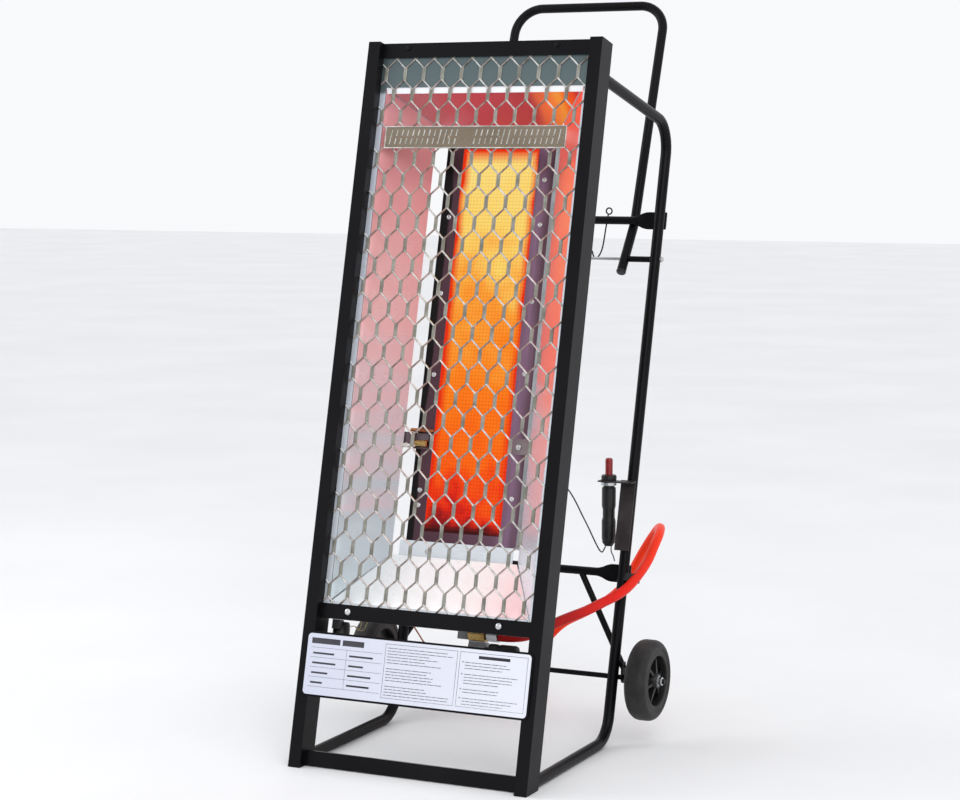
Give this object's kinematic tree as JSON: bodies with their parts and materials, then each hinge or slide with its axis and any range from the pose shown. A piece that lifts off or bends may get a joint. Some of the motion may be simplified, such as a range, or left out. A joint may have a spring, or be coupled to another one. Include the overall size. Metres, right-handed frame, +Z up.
{
  "type": "portable gas radiant heater",
  "caption": "Tall gas radiant heater: ceramic burner in a reflector behind a mesh guard, leaning on a tubular trolley frame with wheels and a handle.",
  "frame": {"origin": "on the floor, under the middle of the heater's footprint, its hose and regulator left out", "axes": "+X to the right of someone facing the burner, +Y towards the back, +Z up"},
  "size_m": [0.5333, 0.6938, 1.1575],
  "materials": {
    "powder_coat": "satin black powder coat",
    "zinc_plate": "bright zinc plate",
    "reflector_sheet": "bright rolled sheet, lightly streaked",
    "heat_tinted_steel": "steel sheet tinted by heat",
    "burner_ceramic": "porous ceramic plate, glowing orange",
    "cast_zinc": "dull die-cast zinc",
    "brass": "machined brass",
    "copper_lead": "drawn copper",
    "black_plastic": "moulded black plastic",
    "red_plastic": "glossy red moulding",
    "tyre_rubber": "solid black rubber",
    "hose_rubber": "smooth red-orange gas hose",
    "label_foil": "plain pale foil sheet"
  },
  "bodies": {
    "stand": {"side_loop_left": "powder_coat", "side_loop_right": "powder_coat", "upper_crossbar": "powder_coat", "lower_crossbar": "powder_coat", "handle": "powder_coat", "handle_rod": "zinc_plate", "rod_spacer_left": "powder_coat", "rod_spacer_right": "powder_coat", "hose_hook": "powder_coat", "axle": "zinc_plate", "wheel_stay_left": "powder_coat", "wheel_stay_right": "powder_coat", "igniter_bracket": "powder_coat", "igniter_body": "black_plastic", "igniter_nut": "zinc_plate", "ignition_lead": "black_plastic", "front_upright_left": "powder_coat", "front_upright_right": "powder_coat", "top_rail": "powder_coat", "middle_rail": "powder_coat", "bottom_rail": "powder_coat", "label_plate": "powder_coat", "label_foil": "label_foil", "guard": "zinc_plate", "guard_strip": "cast_zinc", "front_panel": "zinc_plate", "reflector_left": "reflector_sheet", "reflector_right": "reflector_sheet", "reflector_top": "reflector_sheet", "reflector_bottom": "reflector_sheet", "burner_bezel": "heat_tinted_steel", "ceramic_tile_1": "burner_ceramic", "ceramic_tile_2": "burner_ceramic", "ceramic_tile_3": "burner_ceramic", "ceramic_tile_4": "burner_ceramic", "ceramic_tile_5": "burner_ceramic", "ceramic_tile_6": "burner_ceramic", "mixing_box": "heat_tinted_steel", "mixing_tube": "heat_tinted_steel", "burner_ledge": "reflector_sheet", "pilot_strap": "heat_tinted_steel", "burner_strap": "heat_tinted_steel", "thermocouple": "copper_lead", "valve_body": "brass", "injector_elbow": "cast_zinc", "hose_nut": "zinc_plate", "flame_failure_unit": "cast_zinc", "tilt_switch": "black_plastic", "gas_hose": "hose_rubber", "hose_coil": "hose_rubber", "gas_hose_tail": "hose_rubber", "regulator": "cast_zinc", "bottle_nut": "brass"},
    "wheel_left": {"tyre_left": "tyre_rubber", "hub_left": "black_plastic"},
    "wheel_right": {"tyre_right": "tyre_rubber", "hub_right": "black_plastic"},
    "igniter_push_button": {"igniter_button": "red_plastic"},
    "valve_push_button": {"valve_button": "black_plastic"}
  },
  "joints": [
    {"name": "wheel_left_spin", "type": "hinge", "parent": "stand", "child": "wheel_left", "pos_m": [-0.2375, 0.01133, 0.1], "axis": [1, 0, 0], "continuous": true},
    {"name": "wheel_right_spin", "type": "hinge", "parent": "stand", "child": "wheel_right", "pos_m": [0.2375, 0.01133, 0.1], "axis": [1, 0, 0], "continuous": true},
    {"name": "igniter_press", "type": "slide", "parent": "stand", "child": "igniter_push_button", "axis": [0, 0, -1], "range_m": [0, 0.006], "stiffness_N_per_m": 600, "springref_m": -0.003},
    {"name": "valve_press", "type": "slide", "parent": "stand", "child": "valve_push_button", "axis": [-1, 0, 0], "range_m": [0, 0.005], "stiffness_N_per_m": 800, "springref_m": -0.003}
  ]
}
